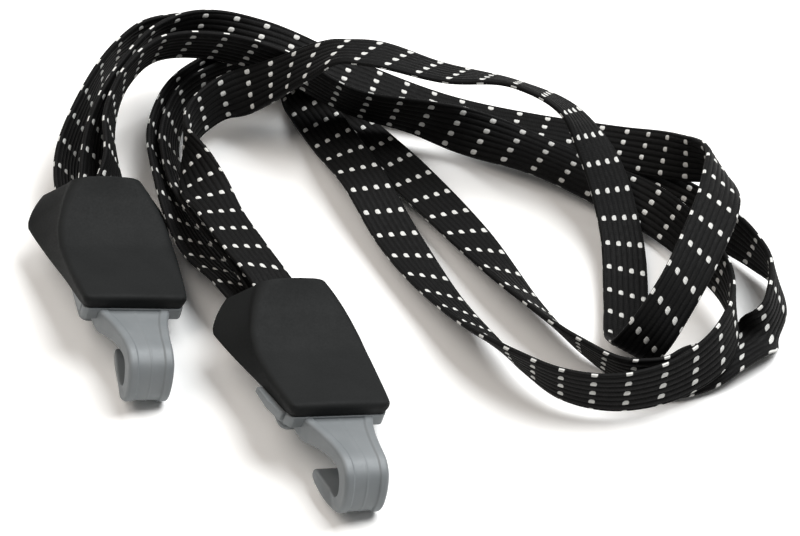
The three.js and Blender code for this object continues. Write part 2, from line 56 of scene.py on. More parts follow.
class Slot(Enum):
    """Material slots of the record; the pieces are handed one but take their finish from a material."""

    COVER = "cover_plastic"
    HOOK = "hook_plastic"
    STEEL = "steel"
    ELASTIC = "elastic"


# Route of each strap, from end B to end A. A point has its row of white dots, the middle of the strap in mm,
# the direction across the strap, and how far the dots at its edge lead in mm.
ROUTES = {
    "strap_inner": (
        (-3.08, 26.14, -2.6, 11.05, -0.898, -0.322, 0.302, 0.1),
        (-2.33, 23.8, 3.85, 11.18, -0.898, -0.319, 0.302, 0.2),
        (0.5, 12.43, 26.75, 10.76, -0.812, -0.294, 0.505, 0.3),
        (2.5, 3.41, 42.52, 7.72, -0.726, -0.318, 0.61, 0),
        (5.5, -10.05, 67.28, 6.37, -0.519, -0.241, 0.82, -0.1),
        (7.5, -14.13, 85.57, 7.38, -0.299, -0.069, 0.952, 0),
        (9, -11.11, 99.38, 8.38, -0.126, 0.015, 0.992, 0),
        (10.5, -1.8, 109.98, 8.59, 0.028, -0.01, 1, 0.3),
        (12, 10.28, 116.42, 8.35, 0.156, -0.182, 0.971, 0.8),
        (13, 18.52, 116.33, 7.03, 0.312, 0.021, 0.95, 0.9),
        (13.5, 21.65, 113.44, 5.99, 0.53, 0.201, 0.824, 0.7),
        (14.5, 25.53, 105.93, 5.15, 0.815, 0.357, 0.456, 0.5),
        (17, 34.57, 85.99, 6.48, 0.881, 0.442, 0.167, -0.4),
        (19.5, 43.89, 65.85, 9.39, 0.91, 0.402, -0.106, 0.7),
        (22, 53.53, 45.13, 6.43, 0.879, 0.448, -0.162, 1.3),
        (25, 66.78, 20.76, 5.97, 0.813, 0.293, -0.502, 1.8),
        (27.5, 78.16, 2.11, 9.59, 0.615, 0.315, -0.723, -0.2),
        (29.5, 88.29, -9.73, 10.99, 0.182, 0.329, -0.927, -1.3),
        (31, 98.9, -17.27, 10.57, 0.007, 0.124, -0.992, 0),
        (33, 116.61, -19.91, 10.2, -0.003, -0.076, -0.997, -0.6),
        (34.5, 131.11, -15.21, 10.69, 0.111, -0.162, -0.98, -1.5),
        (36, 143.02, -5.73, 12.41, 0.305, -0.153, -0.94, -2),
        (37, 147.18, 3.4, 12.79, 0.231, -0.098, -0.968, -1.4),
        (38.5, 146.93, 18.2, 12.41, -0.102, -0.044, -0.994, 1),
        (40, 141.74, 31.81, 11.35, -0.265, -0.236, -0.935, 1.2),
        (42.5, 130.19, 52.52, 7.67, -0.455, -0.487, -0.746, 0.9),
        (45, 112.5, 67.88, 6.46, -0.554, -0.794, -0.252, -0.1),
        (47.5, 92.5, 80, 7.17, -0.46, -0.863, -0.21, 0.5),
        (49.5, 74.95, 87.88, 7.91, -0.431, -0.548, -0.717, 1.8),
        (51, 61.71, 90.48, 10.95, -0.288, -0.04, -0.957, 1.1),
        (53.5, 39.69, 92.91, 15.93, -0.185, 0.293, -0.938, 0.5),
        (56, 18.75, 101.97, 22.45, -0.213, 0.194, -0.958, 1.1),
        (58, 0.14, 105.03, 26.83, -0.245, 0.255, -0.935, 1.8),
        (60, -17.47, 100.89, 29.24, -0.25, 0.273, -0.929, 1.5),
        (61.5, -25.61, 91.63, 27.69, -0.144, 0.268, -0.953, 0.9),
        (63.5, -30.46, 76.38, 23.18, 0.08, 0.283, -0.956, 1.1),
        (65.5, -28.96, 60.56, 18.18, 0.293, 0.32, -0.901, 0.6),
        (66.5, -29.01, 52.42, 15.54, 0.697, 0.269, -0.665, 0.4),
        (67.33, -30.21, 45.86, 12.77, 0.932, 0.247, -0.266, 0.2),
        (68.08, -28.53, 39.22, 12.66, 0.93, 0.249, -0.27, 0.1),
    ),
    "strap_looped": (
        (-1.95, 26.75, -2.38, 13.05, 0.897, 0.32, -0.304, -0.7),
        (-1.2, 24.37, 4.03, 13.23, 0.898, 0.325, -0.297, -1.2),
        (0.5, 17.92, 15.94, 18.28, 0.803, 0.437, -0.405, -2.9),
        (2, 11.07, 26.54, 19.74, 0.836, 0.438, -0.33, -1.5),
        (4.5, 1.61, 45, 18.92, 0.896, 0.402, -0.189, -0.2),
        (6.5, -4.44, 60.79, 16.59, 0.731, 0.245, 0.636, -1.5),
        (8.5, -8.47, 77.56, 14.67, 0.006, 0.101, 0.995, -1),
        (10, -4.7, 89.89, 13.78, -0.174, 0.11, 0.979, 0.2),
        (11, 1.9, 95.69, 14.61, -0.239, 0.243, 0.94, 0.7),
        (11.5, 6.28, 96.5, 15.69, -0.204, 0.598, 0.775, 0.8),
        (13, 16.72, 94.3, 22.84, -0.068, 0.918, 0.392, 0.3),
        (15, 28.91, 89.84, 34.28, 0.132, 0.978, 0.162, 2.2),
        (16, 36.32, 88.85, 38.72, 0.009, 0.977, -0.214, 3),
        (17, 45.14, 88.17, 38.97, 0.078, 0.98, -0.185, 4.1),
        (19.5, 67.38, 86.88, 32.35, 0.037, 0.94, -0.339, 4.3),
        (22, 88.9, 83.99, 30.24, 0.156, 0.778, -0.608, 0.6),
        (24, 104.22, 77.07, 25.66, 0.354, 0.794, -0.494, 0.5),
        (25.5, 111.25, 67.8, 19.33, 0.723, 0.618, -0.309, 0.4),
        (28.5, 118.28, 45.8, 7.28, 0.901, 0.26, -0.347, -0.6),
        (31.5, 118.7, 19.21, 3.28, 0.927, -0.069, -0.368, 0.1),
        (33.5, 118.1, 1.35, 5.74, 0.877, -0.098, -0.471, -0.5),
        (34.5, 120.01, -5.05, 11.34, 0.826, -0.178, -0.535, -1.3),
        (35, 122.6, -4.88, 15.43, 0.768, -0.234, -0.596, -2),
        (36.5, 130.69, 3.61, 24.07, 0.7, -0.212, -0.682, -1.8),
        (38.5, 139.15, 19.84, 29.83, 0.788, -0.226, -0.573, -0.3),
        (41, 145.52, 41.6, 29.78, 0.777, -0.232, -0.586, 0.2),
        (42.5, 145.49, 54.52, 25.58, 0.502, -0.245, -0.829, 0.8),
        (44.5, 134.97, 66.78, 17.45, -0.001, -0.565, -0.825, 1.2),
        (47, 120.35, 79.96, 8.61, -0.37, -0.807, -0.46, -0.3),
        (50.5, 93.15, 92.59, 4.62, -0.334, -0.942, -0.012, -0.4),
        (53.5, 67.69, 100.92, 4.55, -0.278, -0.961, -0.012, -0.3),
        (57, 38.06, 108.25, 12.32, -0.262, -0.955, -0.141, 0.7),
        (60, 11.97, 112.43, 21.97, -0.254, -0.767, -0.589, 1.6),
        (62.5, -10.2, 113.05, 26.22, -0.162, -0.037, -0.986, 2.1),
        (63.5, -18.04, 109.38, 27.07, -0.219, 0.215, -0.952, 1.6),
        (65.5, -27.84, 95.31, 24.65, -0.069, 0.239, -0.969, 1),
        (68, -34.09, 75.21, 18.82, 0.331, 0.216, -0.919, 1.2),
        (70, -33.84, 58.56, 13.42, 0.651, 0.258, -0.714, 1.1),
        (71.53, -30.89, 45.72, 10.63, 0.927, 0.249, -0.28, 0.6),
        (72.28, -29.07, 39.07, 10.62, 0.931, 0.248, -0.269, 0.3),
    ),
    "strap_outer": (
        (-2.36, 25.53, -2.78, 9.06, -0.898, -0.32, 0.303, 0.7),
        (-1.61, 23.17, 3.59, 9.18, -0.897, -0.323, 0.301, 1.2),
        (-0, 12.7, 13.48, 11.22, -0.789, -0.431, 0.438, 2.3),
        (1, 7.68, 20.25, 10.99, -0.791, -0.333, 0.514, 1),
        (3.5, -2.94, 38.35, 6.38, -0.789, -0.345, 0.509, 0.5),
        (6.5, -13.75, 63.46, 6.33, -0.448, -0.198, 0.872, 0.3),
        (9, -18.56, 85.83, 7.94, -0.15, -0.083, 0.985, 0),
        (11, -12.63, 103.92, 9.67, -0.053, -0.039, 0.998, 0.3),
        (12.5, -2.24, 114.03, 9.84, 0.056, -0.039, 0.998, 0.7),
        (14, 10.61, 119.64, 8.98, 0.177, -0.176, 0.968, 0.7),
        (15, 19.31, 119.07, 7.2, 0.294, 0.019, 0.956, 0.7),
        (16.5, 29.02, 110.62, 4.67, 0.722, 0.485, 0.494, 0.4),
        (18.5, 39.43, 96.49, 3.53, 0.803, 0.595, 0.041, -0.4),
        (21.5, 55.78, 74.5, 4.18, 0.807, 0.59, -0.024, 0),
        (25, 73.81, 47.03, 5.56, 0.862, 0.454, -0.225, 1.4),
        (28.5, 91.04, 17.96, 7.21, 0.618, 0.32, -0.718, 0.8),
        (31, 104.79, 0.04, 7.82, 0.236, 0.364, -0.901, -1.8),
        (33, 118.93, -10.54, 7.38, 0.024, 0.146, -0.989, -1),
        (34, 127.56, -12.04, 7.41, -0.048, -0.239, -0.97, -0.4),
        (35, 135.47, -8.23, 6.33, 0.239, -0.665, -0.707, -2.7),
        (36.5, 146.57, -0.23, 4.24, 0.625, -0.777, 0.066, -6.1),
        (37.5, 154.08, 5.63, 4.46, 0.675, -0.737, -0.02, -4.5),
        (38, 157.29, 8.8, 5.99, 0.499, -0.168, -0.85, -1.9),
        (39, 161.14, 17.82, 7.85, 0.425, 0.136, -0.895, -1.5),
        (40, 160.48, 28.09, 9.23, 0.199, 0.102, -0.975, 1.6),
        (41, 155.73, 36.73, 9.02, -0.01, -0.07, -0.998, 2.2),
        (43, 143.75, 51.87, 7.08, -0.302, -0.392, -0.869, 1),
        (46.5, 118.24, 74.38, 3.54, -0.509, -0.764, -0.397, -0.5),
        (50.5, 85.45, 94.09, 1.91, -0.426, -0.903, -0.057, -0.7),
        (53.5, 58.84, 103.75, 2.83, -0.282, -0.958, 0.056, -0.1),
        (57, 28.06, 110.91, 11.59, -0.2, -0.979, -0.05, 0.2),
        (60, 1.77, 115.6, 20.41, -0.19, -0.755, -0.628, -0.7),
        (61.5, -11.47, 118.7, 20.5, 0.028, -0.125, -0.992, -0.7),
        (63, -24.16, 115.85, 20.74, -0.093, 0.143, -0.985, 0.5),
        (64, -30.71, 109.54, 20.06, -0.15, 0.241, -0.959, 0.6),
        (66.5, -39.64, 89.07, 14.53, 0.205, 0.225, -0.952, -0.2),
        (69, -43.21, 67.85, 9.05, 0.454, 0.17, -0.875, 0),
        (70.5, -40.06, 55.27, 7.26, 0.618, 0.262, -0.741, 0.4),
        (71.94, -31.45, 45.54, 8.56, 0.932, 0.25, -0.261, 0.2),
        (72.69, -29.61, 38.92, 8.6, 0.931, 0.248, -0.269, 0.1),
    ),
}


# ---------------------------------------------------------------- shared mesh work


def smooth_table(stations: np.ndarray, values: np.ndarray, at: np.ndarray, soft: float) -> np.ndarray:
    """Reads a table of straight lines whose corners are rounded.

    The result is the mean of the straight-line table over a window of width 2 * soft about each place,
    with the table carried on straight past its ends.

    Args:
        stations: Rising places of the table.
        values: Value at each place.
        at: Places to read.
        soft: Half width of the window.

    Returns:
        One value for each place in at.
    """
    low = values[0] - (values[1] - values[0]) / (stations[1] - stations[0])
    high = values[-1] + (values[-1] - values[-2]) / (stations[-1] - stations[-2])
    xs = np.concatenate([[stations[0] - 1.0], stations, [stations[-1] + 1.0]])
    ys = np.concatenate([[low], values, [high]])
    window = np.linspace(-soft, soft, 13)
    weight = np.cos(window / soft * np.pi / 2.2) ** 2
    read = np.interp(at[:, None] + window[None, :], xs, ys)
    return (read * weight).sum(1) / weight.sum()


def through_points(points: np.ndarray, count: int) -> np.ndarray:
    """Resamples a row of points along a smooth curve through them.

    Each span is the cubic with the points' central differences as slopes (Catmull-Rom), one unit long.

    Args:
        points: Array of n points with any number of columns.
        count: Number of samples, evenly spaced in the span number.

    Returns:
        Array of count points.
    """
    n = len(points)
    lean = np.gradient(points, axis=0)
    place = np.linspace(0, n - 1, count)
    i = np.minimum(place.astype(int), n - 2)
    u = (place - i)[:, None]
    a = 2 * u**3 - 3 * u**2 + 1
    b = u**3 - 2 * u**2 + u
    c = 3 * u**2 - 2 * u**3
    d = u**3 - u**2
    return a * points[i] + b * lean[i] + c * points[i + 1] + d * lean[i + 1]


def grid_faces(rows: int, columns: int, closed: bool) -> np.ndarray:
    """Lists the quads of a grid of points, row by row.

    Args:
        rows: Number of rows of points.
        columns: Number of points in a row.
        closed: True where the last column meets the first.

    Returns:
        Integer array with one row of four indices for each quad.
    """
    i = np.arange(rows - 1)[:, None]
    j = np.arange(columns if closed else columns - 1)[None, :]
    k = (j + 1) % columns
    quads = np.stack([i * columns + j, i * columns + k, (i + 1) * columns + k, (i + 1) * columns + j], -1)
    return quads.reshape(-1, 4)


def tube_faces(rows: int, columns: int) -> list:
    """Lists the faces of a tube of closed rows of points, with a lid at each end.

    Args:
        rows: Number of rows of points.
        columns: Number of points in a row.

    Returns:
        Faces as lists of indices.
    """
    faces = grid_faces(rows, columns, True).tolist()
    faces.append(list(range(columns)))
    faces.append(list(range((rows - 1) * columns, rows * columns))[::-1])
    return faces


def both_sides(right: np.ndarray) -> np.ndarray:
    """Adds to the right half of an outline, points x and y, its mirror image in x."""
    return np.vstack([right, right[::-1] * np.array([-1.0, 1.0])])


def mesh_object(name: str, points: np.ndarray, faces: list, smooth: bool = True) -> bpy.types.Object:
    """Makes an object at the origin from points in metres and a list of faces.

    Args:
        name: Name of the piece.
        points: Array of points.
        faces: Faces as lists of indices.
        smooth: True for smooth shading.

    Returns:
        The new object, linked to the scene.
    """
    mesh = bpy.data.meshes.new(name)
    mesh.from_pydata(points.tolist(), [], [list(map(int, f)) for f in faces])
    mesh.polygons.foreach_set("use_smooth", np.full(len(mesh.polygons), smooth))
    mesh.update()
    piece = bpy.data.objects.new(name, mesh)
    bpy.context.scene.collection.objects.link(piece)
    return piece


def turn_outward(piece: bpy.types.Object) -> None:
    """Turns all faces of a closed piece outward, judged by the sign of its volume.

    The volume is the sum of a . (b x c) / 6 over its triangles.

    Args:
        piece: The piece to mend.
    """
    mesh = piece.data
    mesh.calc_loop_triangles()
    corner = np.zeros(len(mesh.loop_triangles) * 3, np.int32)
    mesh.loop_triangles.foreach_get("vertices", corner)
    co = np.zeros(len(mesh.vertices) * 3)
    mesh.vertices.foreach_get("co", co)
    tri = co.reshape(-1, 3)[corner.reshape(-1, 3)]
    if np.einsum("ij,ij->i", tri[:, 0], np.cross(tri[:, 1], tri[:, 2])).sum() < 0:
        mesh.flip_normals()


def sew_doubles(piece: bpy.types.Object) -> None:
    """Merges points of a piece that lie on each other.

    Args:
        piece: The piece.
    """
    work = bmesh.new()
    work.from_mesh(piece.data)
    bmesh.ops.remove_doubles(work, verts=work.verts, dist=SEW_DISTANCE)
    bmesh.ops.dissolve_degenerate(work, edges=work.edges, dist=SLIVER_LENGTH)
    work.to_mesh(piece.data)
    work.free()


def add_bevel(piece: bpy.types.Object, width: float, segments: int, degrees: float) -> None:
    """Rounds the sharp edges of a piece.

    Args:
        piece: The piece.
        width: Width of the bevel in metres.
        segments: Number of strips across it.
        degrees: Least angle between faces that counts as sharp.
    """
    bevel = piece.modifiers.new("Rounded edges", "BEVEL")
    bevel.width = width
    bevel.segments = segments
    bevel.limit_method = "ANGLE"
    bevel.angle_limit = np.radians(degrees)


# ---------------------------------------------------------------- finishes


class Graph:
    """A small helper that adds and links shader nodes in one tree."""

    def __init__(self, tree: bpy.types.NodeTree) -> None:
        """Empties a tree and starts on it."""
        self.tree = tree
        self.tree.nodes.clear()

    def node(self, kind: str, **settings: str) -> bpy.types.Node:
        """Adds a node of a kind and sets its properties."""
        made = self.tree.nodes.new(kind)
        for key, value in settings.items():
            setattr(made, key, value)
        return made

    def join(self, source: Feed, target: bpy.types.NodeSocket) -> None:
        """Links an output to an input, or writes a constant into it."""
        if isinstance(source, (int, float, tuple)):
            target.default_value = source
        else:
            self.tree.links.new(source, target)

    def fed(self, kind: str, inputs: dict) -> bpy.types.Node:
        """Adds a node of a kind and joins a value to each input that is named."""
        made = self.node(kind)
        for name, value in inputs.items():
            self.join(value, made.inputs[name])
        return made

    def math(self, operation: str, *inputs: Feed) -> bpy.types.NodeSocket:
        """Adds a Math node on outputs or numbers and returns its output."""
        made = self.node("ShaderNodeMath", operation=operation)
        for k, value in enumerate(inputs):
            self.join(value, made.inputs[k])
        return made.outputs[0]

    def ramp(
        self, value: Feed, low: float, high: float, out_low: float = 0.0, out_high: float = 1.0
    ) -> bpy.types.NodeSocket:
        """Carries a value from one range to another, with smooth ends.

        Args:
            value: The value.
            low: Where the first range starts.
            high: Where the first range ends.
            out_low: Where the second range starts.
            out_high: Where the second range ends.

        Returns:
            The carried value.
        """
        made = self.node("ShaderNodeMapRange", interpolation_type="SMOOTHSTEP")
        for k, item in enumerate((value, low, high, out_low, out_high)):
            self.join(item, made.inputs[k])
        return made.outputs[0]

    def mix(self, factor: Feed, first: Feed, second: Feed) -> bpy.types.NodeSocket:
        """Mixes two colours by a factor, the share of the second, and returns the output."""
        made = self.node("ShaderNodeMix", data_type="RGBA")
        for k, item in ((0, factor), (6, first), (7, second)):
            self.join(item, made.inputs[k])
        return made.outputs[2]

    def close(self, kind: str, surface: bpy.types.Node) -> None:
        """Ends the tree in an output node of a kind, fed by a shader node."""
        self.join(surface.outputs[0], self.node(kind).inputs[0])


def new_material(name: str) -> tuple:
    """Makes a material and returns it with a Graph on its emptied tree."""
    material = bpy.data.materials.new(name)
    material.use_nodes = True
    return material, Graph(material.node_tree)


def speckle_group() -> bpy.types.NodeTree:
    """Builds the moulded grain that the plastics and the steel share.

    Height is fine noise plus about a third of a coarser noise, and Shade is slow cloudy noise about 0.5.

    Returns:
        The node group, with inputs Vector and Size, and outputs Height and Shade.
    """
    group = bpy.data.node_groups.new("Moulded grain", "ShaderNodeTree")
    sockets = (("Vector", "INPUT", "Vector"), ("Size", "INPUT", "Float"), ("Height", "OUTPUT", "Float"))
    for name, way, kind in (*sockets, ("Shade", "OUTPUT", "Float")):
        group.interface.new_socket(name, in_out=way, socket_type="NodeSocket" + kind)
    g = Graph(group)
    take = g.node("NodeGroupInput")
    give = g.node("NodeGroupOutput")
    noises = []
    for share, detail in ((1.0, 3.0), (0.2, 2.0), (0.04, 2.0)):
        scale = g.math("DIVIDE", share, take.outputs[1])
        noise = g.fed("ShaderNodeTexNoise", {"Vector": take.outputs[0], "Scale": scale, "Detail": detail})
        noises.append(noise.outputs[0])
    fine, coarse, slow = noises
    g.join(g.math("MULTIPLY_ADD", coarse, 0.35, fine), give.inputs[0])
    g.join(slow, give.inputs[1])
    return group


@dataclass(frozen=True)
class Plastic:
    """A moulded plastic or plated metal: its two near colours, gloss and grain, sizes in metres."""

    name: str
    dark: tuple
    light: tuple
    rough_low: float
    rough_high: float
    grain: float
    depth: float
    metallic: float = 0.0
    specular: float = 0.5

    def build(self, grain_group: bpy.types.NodeTree) -> bpy.types.Material:
        """Builds the material.

        Colour runs between dark and light with the grain's Shade, roughness with its Height, and Height
        is also the height of the bump.

        Args:
            grain_group: The shared grain group.

        Returns:
            The material.
        """
        material, g = new_material(self.name)
        place = g.node("ShaderNodeTexCoord")
        grain = g.node("ShaderNodeGroup")
        grain.node_tree = grain_group
        g.join(place.outputs["Object"], grain.inputs["Vector"])
        g.join(self.grain, grain.inputs["Size"])
        high = grain.outputs["Height"]
        bump = g.fed("ShaderNodeBump", {"Strength": 1.0, "Distance": self.depth, "Height": high})
        look = {
            "Base Color": g.mix(g.ramp(grain.outputs["Shade"], 0.3, 0.7), self.dark, self.light),
            "Roughness": g.ramp(high, 0.4, 1.0, self.rough_low, self.rough_high),
            "Normal": bump.outputs[0],
            "Metallic": self.metallic,
            "Specular IOR Level": self.specular,
        }
        g.close("ShaderNodeOutputMaterial", g.fed("ShaderNodeBsdfPrincipled", look))
        return material


@dataclass(frozen=True)
class Elastic:
    """Braided elastic: black ribs with rows of small white dots, sizes in mm, depth in metres."""

    name: str
    # dark and light are the elastic's black: dark in the grooves, light on the rib crests, a painted groove
    # shade and painted rib highlight
    dark: tuple = (0.001, 0.001, 0.0011, 1.0)
    light: tuple = (0.0068, 0.0067, 0.0065, 1.0)
    dot: tuple = (0.8, 0.8, 0.77, 1.0)
    # grey between a dot's threads: painted shade
    painted_dot_shade: tuple = (0.42, 0.42, 0.4, 1.0)
    rib: float = 1.75
    pitch: float = 9.19
    half_across: float = 0.7
    half_along: float = 0.83
    slant: float = 0.1
    dot_edge: tuple = (1.45, 0.85)
    stitch: float = 0.82
    stitch_lean: float = 1.4
    thread: float = 0.36
    fibre_across: float = 3.2
    fibre_along: float = 0.55
    depth: float = 0.00006

    def build(self) -> bpy.types.Material:
        """Builds the material from the attributes across (mm), row and side of a strap.

        A column of dots lies at every second rib: on the front face at odd multiples of the rib pitch, on
        the back face at even ones. A dot is a square with round corners, inside which the cubes of the two
        shares of its half widths add up to about one. The stitches are a slanted wave along each rib, and
        fibres are noise drawn out along the strap. The black runs from dark in the grooves to light on the
        rib crests, a painted groove shade and painted rib highlight, times the fibres' random tone; the
        white of a dot runs to grey between its threads, a painted shade, mixed with the fibres' tone.

        Returns:
            The material.
        """
        material, g = new_material(self.name)
        across = g.node("ShaderNodeAttribute", attribute_name="across").outputs["Fac"]
        row = g.node("ShaderNodeAttribute", attribute_name="row").outputs["Fac"]
        side = g.node("ShaderNodeAttribute", attribute_name="side").outputs["Fac"]
        front = g.math("GREATER_THAN", side, 0.0)
        lane = g.math("MULTIPLY_ADD", across, 0.5 / self.rib, g.math("MULTIPLY_ADD", front, 0.5, 0.5))
        in_lane = g.math("FRACT", g.math("ADD", lane, 8.0))
        off = g.math("MULTIPLY", g.math("SUBTRACT", in_lane, 0.5), 2 * self.rib)
        along = g.math("SUBTRACT", g.math("FRACT", g.math("ADD", row, 8.5)), 0.5)
        along = g.math("MULTIPLY_ADD", along, self.pitch, g.math("MULTIPLY", off, self.slant))
        wide = g.math("POWER", g.math("ABSOLUTE", g.math("MULTIPLY", off, 1 / self.half_across)), 3.0)
        long = g.math("POWER", g.math("ABSOLUTE", g.math("MULTIPLY", along, 1 / self.half_along)), 3.0)
        mask = g.ramp(g.math("ADD", wide, long), *self.dot_edge)
        spot = g.node("ShaderNodeCombineXYZ")
        g.join(g.math("MULTIPLY", across, self.fibre_across), spot.inputs[0])
        g.join(g.math("MULTIPLY", row, self.pitch * self.fibre_along), spot.inputs[1])
        g.join(g.math("MULTIPLY", side, 7.0), spot.inputs[2])
        fibre = g.fed("ShaderNodeTexNoise", {"Vector": spot.outputs[0], "Scale": 1.0, "Detail": 3.0})
        rib_share = g.math("FRACT", g.math("MULTIPLY_ADD", across, 1 / self.rib, 8.5))
        in_rib = g.math("ABSOLUTE", g.math("SUBTRACT", rib_share, 0.5))
        # painted light: crest is 1 on the rib crests and 0 in the grooves between ribs
        crest = g.ramp(in_rib, 0.5, 0.12)
        leaned = g.math("MULTIPLY", in_rib, self.stitch_lean)
        phase = g.math("MULTIPLY_ADD", row, self.pitch / self.stitch, leaned)
        stitch = g.math("SINE", g.math("MULTIPLY", phase, FULL_TURN))
        # painted groove shade and painted rib highlight in the black, times the fibres' random tone
        black = g.mix(g.math("MULTIPLY", crest, fibre.outputs[0]), self.dark, self.light)
        thread = g.math("SINE", g.math("MULTIPLY", off, FULL_TURN / self.thread))
        fuzz = g.math("MULTIPLY_ADD", thread, 0.25, fibre.outputs[0])
        # the dot's white runs to painted shade between its threads, mixed with the fibres' random tone
        white = g.mix(g.ramp(fuzz, 0.2, 0.65), self.painted_dot_shade, self.dot)
        high = g.math("MULTIPLY_ADD", stitch, 0.35, g.math("MULTIPLY", fibre.outputs[0], 0.8))
        high = g.math("MULTIPLY_ADD", mask, 1.2, high)
        bump = g.fed("ShaderNodeBump", {"Strength": 0.8, "Distance": self.depth, "Height": high})
        look = {
            "Base Color": g.mix(mask, black, white),
            "Roughness": g.ramp(fibre.outputs[0], 0.3, 0.7, 0.75, 0.62),
            "Normal": bump.outputs[0],
            "Specular IOR Level": 0.15,
            "Sheen Weight": 0.02,
            "Sheen Roughness": 0.4,
        }
        g.close("ShaderNodeOutputMaterial", g.fed("ShaderNodeBsdfPrincipled", look))
        return material


# ---------------------------------------------------------------- straps


@dataclass
class Strap:
    """One flat elastic strap with lengthwise ribs, along a route of its own, sizes in mm."""

    name: str
    width: float = 14.0
    thickness: float = 1.8
    rib: float = 1.75
    groove: float = 0.36
    step: float = 1.5
    pitch: float = 9.19
    ribs: int = 7
    rib_points: int = 6
    edge_degrees: tuple = (12.0, 32.0, 52.0, 72.0)

    def centre_line(self, rows: np.ndarray) -> tuple:
        """Reads the route at rows of dots.

        Between two points of the route each number is the cubic whose slopes are the means of the slopes
        on both sides, weighted by the other side's length.

        Args:
            rows: Rows of dots to read at.

        Returns:
            Places in mm, directions across the strap, and the lead of the dots at the edge in mm.
        """
        route = np.array(ROUTES[self.name])
        at, values = route[:, 0], route[:, 1:]
        span = np.diff(at)
        slope = np.diff(values, axis=0) / span[:, None]
        lean = np.vstack([slope[:1], slope[1:], slope[-1:]])
        weighted = slope[:-1] * span[1:, None] + slope[1:] * span[:-1, None]
        lean[1:-1] = weighted / (span[:-1] + span[1:])[:, None]
        i = np.clip(np.searchsorted(at, rows, side="right") - 1, 0, len(at) - 2)
        u = ((rows - at[i]) / span[i])[:, None]
        s = span[i][:, None]
        read = (2 * u**3 - 3 * u**2 + 1) * values[i] + (u**3 - 2 * u**2 + u) * s * lean[i]
        read = read + (3 * u**2 - 2 * u**3) * values[i + 1] + (u**3 - u**2) * s * lean[i + 1]
        return read[:, :3], read[:, 3:6], read[:, 6]

    def section(self) -> tuple:
        """Works out the cross-section, once round.

        The face is the half thickness less a groove between each two ribs, where a rib is the upper half
        of an ellipse, and each edge is a quarter of an ellipse on both faces.

        Returns:
            Place across, height and side (1 or -1) of each point of the outline.
        """
        half = self.width / 2
        rim = half - self.rib / 2
        flat = np.linspace(-rim, rim, self.ribs * self.rib_points + 1)
        in_rib = (np.mod(flat / self.rib + 0.5, 1.0) - 0.5) * 2
        ribs = self.thickness / 2 - self.groove + self.groove * np.sqrt(np.clip(1 - in_rib**2, 0, 1)) ** 0.8
        turn = np.radians(np.array(self.edge_degrees))
        edge = rim + self.rib / 2 * np.cos(turn)
        edge_high = (self.thickness / 2 - self.groove * 0.35) * np.sin(turn) ** 0.8
        across = np.concatenate([-edge, flat, edge[::-1]])
        high = np.concatenate([edge_high, ribs, edge_high[::-1]])
        side = np.ones(len(across))
        return (
            np.concatenate([across, across[::-1]]),
            np.concatenate([high, -high[::-1]]),
            np.concatenate([side, -side]),
        )

    def build(self, finish: bpy.types.Material) -> bpy.types.Object:
        """A point is centre + across * w + out * h, where out is along x across.

        Args:
            finish: The elastic's material.

        Returns:
            The strap.
        """
        route = np.array(ROUTES[self.name])
        dense = np.linspace(route[0, 0], route[-1, 0], 3000)
        centre = self.centre_line(dense)[0]
        run = np.concatenate([[0.0], np.cumsum(np.linalg.norm(np.diff(centre, axis=0), axis=1))])
        count = int(run[-1] / self.step)
        rows = np.interp(np.linspace(0, run[-1], count), run, dense)
        centre, across, lead = self.centre_line(rows)
        along = np.gradient(centre, axis=0)
        along /= np.linalg.norm(along, axis=1)[:, None]
        across -= (across * along).sum(1)[:, None] * along
        across /= np.linalg.norm(across, axis=1)[:, None]
        out = np.cross(along, across)
        w, h, side = self.section()
        points = centre[:, None] + across[:, None] * w[None, :, None] + out[:, None] * h[None, :, None]
        faces = tube_faces(count, len(w))
        piece = mesh_object(self.name + "_braid", points.reshape(-1, 3) * MM, faces)
        turn_outward(piece)
        for label, values in (
            ("across", np.tile(w, count)),
            ("row", (rows[:, None] - lead[:, None] * w[None, :] / (self.width / 2 * self.pitch)).ravel()),
            ("side", np.tile(side, count)),
        ):
            layer = piece.data.attributes.new(label, "FLOAT", "POINT")
            layer.data.foreach_set("value", values.astype(np.float32))
        piece.data.materials.append(finish)
        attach(piece, "straps")
        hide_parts(self.name)
        log.info("%s: %.0f mm long, %d points", piece.name, run[-1], len(piece.data.vertices))
        return piece


# ---------------------------------------------------------------- hook ends


